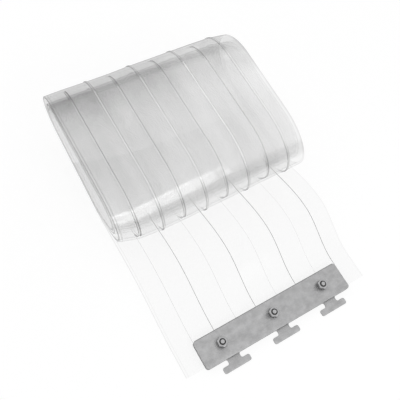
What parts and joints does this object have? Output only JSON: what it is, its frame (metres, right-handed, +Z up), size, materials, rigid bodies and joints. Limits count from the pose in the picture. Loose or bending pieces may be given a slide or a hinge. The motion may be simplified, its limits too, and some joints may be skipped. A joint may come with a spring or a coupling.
{
  "type": "pvc strip curtain",
  "caption": "Clear ribbed PVC curtain strip, loosely rolled up, with its outer end clamped between a hooked steel plate and a cover plate by studs and nuts.",
  "frame": {"origin": "centre of the bottom of the bounding box, on the surface that the roll and the hook plate lie on", "axes": "+X runs across the strip along the hook row, +Y points from the hooks to the roll, +Z up"},
  "size_m": [0.3, 0.4577, 0.1104],
  "materials": {
    "clear_pvc": "clear, smooth and slightly glossy",
    "plate_steel": "satin sheet, pressed",
    "stud_steel": "turned, bright",
    "nut_steel": "bright, smooth"
  },
  "bodies": {
    "roll": {"strip_roll": "clear_pvc", "strip_flex_zone": "clear_pvc"},
    "hanger": {"strip_clamped_end": "clear_pvc", "hook_plate": "plate_steel", "cover_plate": "plate_steel", "stud_left": "stud_steel", "stud_middle": "stud_steel", "stud_right": "stud_steel", "nut_left": "nut_steel", "nut_middle": "nut_steel", "nut_right": "nut_steel"}
  },
  "joints": [
    {"name": "hanger_lift", "type": "hinge", "parent": "roll", "child": "hanger", "pos_m": [0, -0.14025, 0.01477], "axis": [-1, 0, 0], "range_deg": [0, 60], "deforming": ["strip_flex_zone"]}
  ]
}
